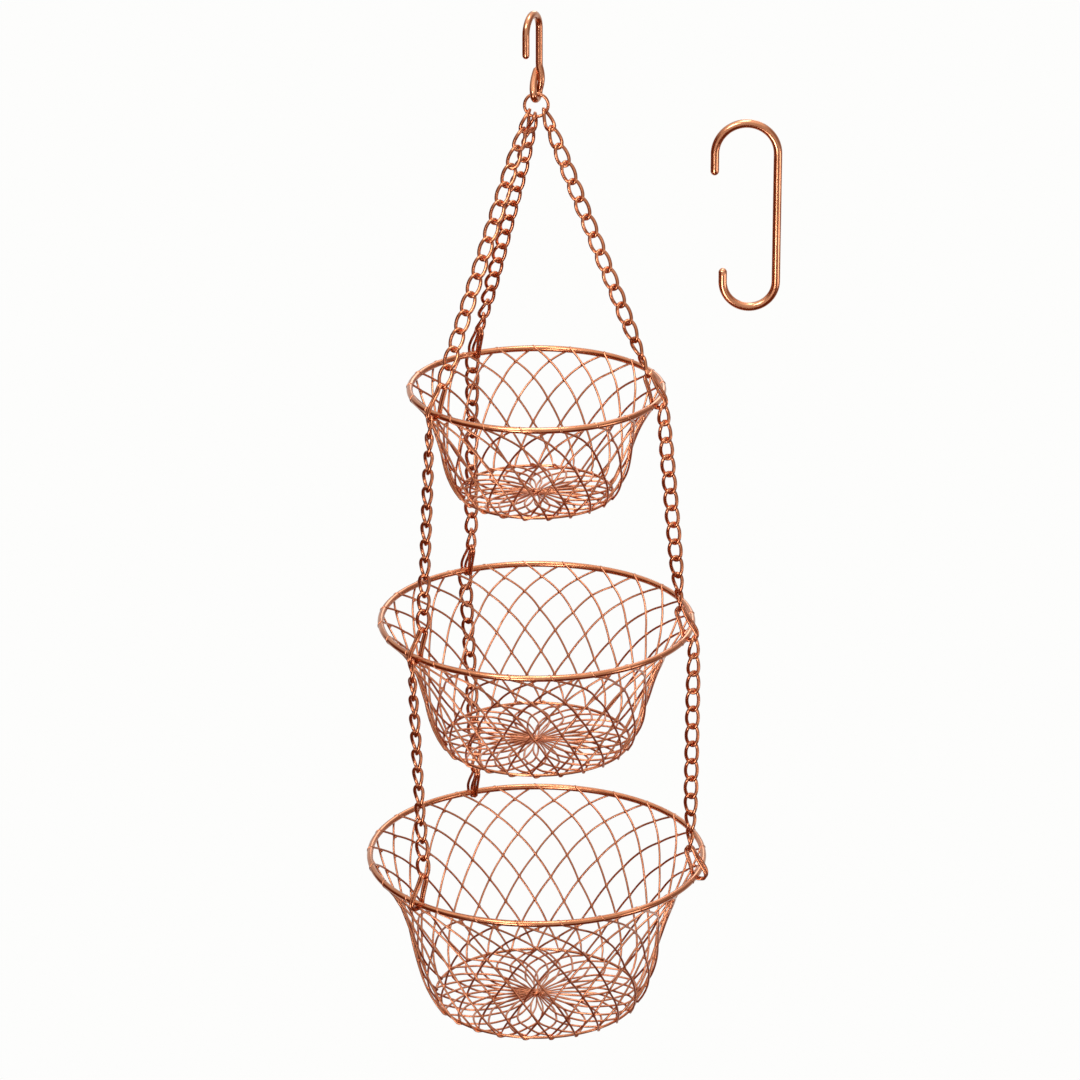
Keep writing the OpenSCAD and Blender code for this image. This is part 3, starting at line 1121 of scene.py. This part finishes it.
@dataclass
class Studio:
    """Plain pale floor and backdrop, soft light and a camera at the photograph's angle.

    All its sizes are metres, but for the lens and the sensor in millimetres.
    """

    floor_z: float = -1.6
    floor_size: float = 44.0
    backdrop_r: float = 20.0
    backdrop_height: float = 40.0
    camera_at: Point = (0.0063, -4.084, 1.0715)
    pitch_deg: float = 69.307
    lens_mm: float = 165.7
    sensor_mm: float = 36.0
    sight: float = 60.0

    def build_floor(self, finish: bpy.types.Material) -> None:
        """Lay the floor and stand the backdrop round it.

        Args:
            finish: Their material.
        """
        clear_selection()
        bpy.ops.mesh.primitive_plane_add(size=self.floor_size, location=(0, 0, self.floor_z))
        floor = bpy.context.view_layer.objects.active
        floor.name = "studio_floor"
        clear_selection()
        bpy.ops.mesh.primitive_cylinder_add(
            vertices=96, radius=self.backdrop_r, depth=self.backdrop_height,
            end_fill_type="NOTHING", location=(0, 0, self.floor_z + self.backdrop_height / 2))
        backdrop = bpy.context.view_layer.objects.active
        backdrop.name = "studio_backdrop"
        for piece in (floor, backdrop):
            choose(piece)
            bpy.ops.object.transform_apply(location=True, rotation=True, scale=True)
            piece.data.materials.append(finish)
            # The wires mirror the room's own light and dark, not the sheet.
            piece.visible_glossy = False

    def build_room(self) -> None:
        """Colour the room that the wires mirror, each part faded in by direction.

        It is bright, more so overhead, with a dark table low in front, a dark
        screen at the left and a half-dark wing at the right.
        """
        world = bpy.data.worlds.new("studio_glow")
        world.use_nodes = True
        tree = world.node_tree
        tree.nodes.clear()
        place = add_node(tree, "ShaderNodeTexCoord")
        way = add_node(tree, "ShaderNodeSeparateXYZ", {}, {},
                       {"Vector": place.outputs["Generated"]})

        def ramp(axis: str, start: float, stop: float, full: float = 1.0) -> bpy.types.NodeSocket:
            """Rise smoothly from 0 to a full share along one direction of the room."""
            return add_node(tree, "ShaderNodeMapRange", {"interpolation_type": "SMOOTHSTEP"},
                            {"From Min": start, "From Max": stop, "To Min": 0.0, "To Max": full},
                            {"Value": way.outputs[axis]}).outputs["Result"]

        def both(operation: str, one: bpy.types.NodeSocket,
                 other: bpy.types.NodeSocket) -> bpy.types.NodeSocket:
            """Join two shares by one operation."""
            return add_node(tree, "ShaderNodeMath", {"operation": operation}, {},
                            {0: one, 1: other}).outputs[0]

        table = both("MULTIPLY", ramp("Z", -0.12, -0.42), ramp("Y", 0.55, 0.20))
        screen = both("MULTIPLY", ramp("X", -0.52, -0.80), ramp("Z", 0.60, 0.20))
        wing = ramp("X", 0.60, 0.90, 0.65)
        dark = both("MAXIMUM", both("MAXIMUM", table, screen), wing)
        lit = add_node(tree, "ShaderNodeMix", {"data_type": "RGBA"},
                       {6: (0.72, 0.71, 0.68, 1.0), 7: (1.25, 1.24, 1.20, 1.0)},
                       {0: ramp("Z", 0.55, 0.90)})
        shade = add_node(tree, "ShaderNodeMix", {"data_type": "RGBA"},
                         {7: (0.16, 0.038, 0.008, 1.0)}, {0: dark, 6: lit.outputs[2]})
        glow = add_node(tree, "ShaderNodeBackground", {}, {"Strength": 1.0},
                        {"Color": shade.outputs[2]})
        add_node(tree, "ShaderNodeOutputWorld", {}, {}, {"Surface": glow.outputs["Background"]})
        bpy.context.scene.world = world

    def build_camera(self) -> None:
        """Set the camera where the photograph was taken from."""
        lens = bpy.data.cameras.new("photo_camera")
        lens.lens = self.lens_mm
        lens.sensor_width = self.sensor_mm
        lens.sensor_fit = "HORIZONTAL"
        lens.clip_end = self.sight
        obj = bpy.data.objects.new("photo_camera", lens)
        obj.location = self.camera_at
        obj.rotation_euler = (math.radians(self.pitch_deg), 0.0, 0.0)
        bpy.context.scene.collection.objects.link(obj)
        bpy.context.scene.camera = obj


# ------------------------------------------------------------------ the basket

# The three baskets from top to bottom.
TIERS = (
    Tier(name="top", body="top_tier", rim_r=110.3, foot_r=67.0, depth=95.3, top_z=-333.3,
         flare=0.66, turn=49.0, start=6.0, count=21, hang=(-20.0, 119.4, 218.3), seed=3),
    Tier(name="middle", body="middle_basket", rim_r=137.9, foot_r=83.0, depth=114.2, top_z=-549.5,
         flare=0.72, turn=53.5, start=5.4, count=24, hang=(-15.7, 117.0, 221.0), seed=5),
    Tier(name="bottom", body="bottom_basket", rim_r=150.1, foot_r=92.0, depth=138.9, top_z=-775.9,
         flare=0.69, turn=57.0, start=4.4, count=25, hang=(-17.2, 113.0, 226.0), seed=9))

# Where each side's upper chain holds the ring, in degrees round it, and the way across
# the ring's wire there.
RING_HOLDS: Dict[Side, float] = {Side.RIGHT: -29.0, Side.BACK: 261.0, Side.LEFT: 216.0}
RING_ACROSS: Point = (0.0, 1.0, 0.0)

# The way the middle of each middle and lower chain faces, which is along X when its
# links lie open to the camera.
FACING: Dict[Side, Point] = {
    Side.RIGHT: (1.0, 0.0, 0.0), Side.BACK: (0.87, -0.5, 0.0), Side.LEFT: (0.6, -0.8, 0.0)}


def main() -> None:
    """Build, dress and place every piece, then the studio."""
    hook_copper = CopperPlate("satin_copper_thick_wire", "#DF9A72", "#CE835B", 0.20).build()
    rim_copper = CopperPlate("satin_copper_rim_wire", "#DA9066", "#C27449", 0.20).build()
    mesh_copper = CopperPlate("satin_copper_thin_wire", "#DA9068", "#BE7048", 0.29).build()
    chain_copper = CopperPlate("polished_copper_links", "#D68960", "#BA683F", 0.22).build()
    clip_copper = CopperPlate("polished_copper_clips", "#D88B62", "#BA683F", 0.22).build()
    hook = HangingHook()
    hook.build(hook_copper)
    SpareHook().build(hook_copper)
    ring = GatherRing(top=hook.ring_top)
    ring.build(clip_copper)
    clips: List[List[Clip]] = []
    for tier in TIERS:
        tier.build_rim(rim_copper)
        tier.build_foot(rim_copper)
        tier.build_mesh(mesh_copper)
        FloorKnot(tier).build(mesh_copper)
        clips.append([Clip(tier, side) for side in Side])
        for clip in clips[-1]:
            clip.build(clip_copper)
    for side in Side:
        low = clips[0][side.value]
        Chain(f"upper_{side.word}_chain", "top_tier", ring.hold(RING_HOLDS[side]), low.head(),
              Vector(RING_ACROSS), low.across()).build(chain_copper)
        for word, upper, lower in (("middle", 0, 1), ("lower", 1, 2)):
            high, low = clips[upper][side.value], clips[lower][side.value]
            Chain(f"{word}_{side.word}_chain", f"{word}_{side.word}_hanger", high.foot(),
                  low.head(), high.across(), low.across(), facing=FACING[side]).build(chain_copper)
    studio = Studio()
    studio.build_floor(PaleFloor().build())
    for light in LIGHTS:
        light.build()
    studio.build_room()
    studio.build_camera()
    bpy.context.scene.view_settings.view_transform = "Standard"
    bpy.context.view_layer.update()


if __name__ == "__main__":
    main()
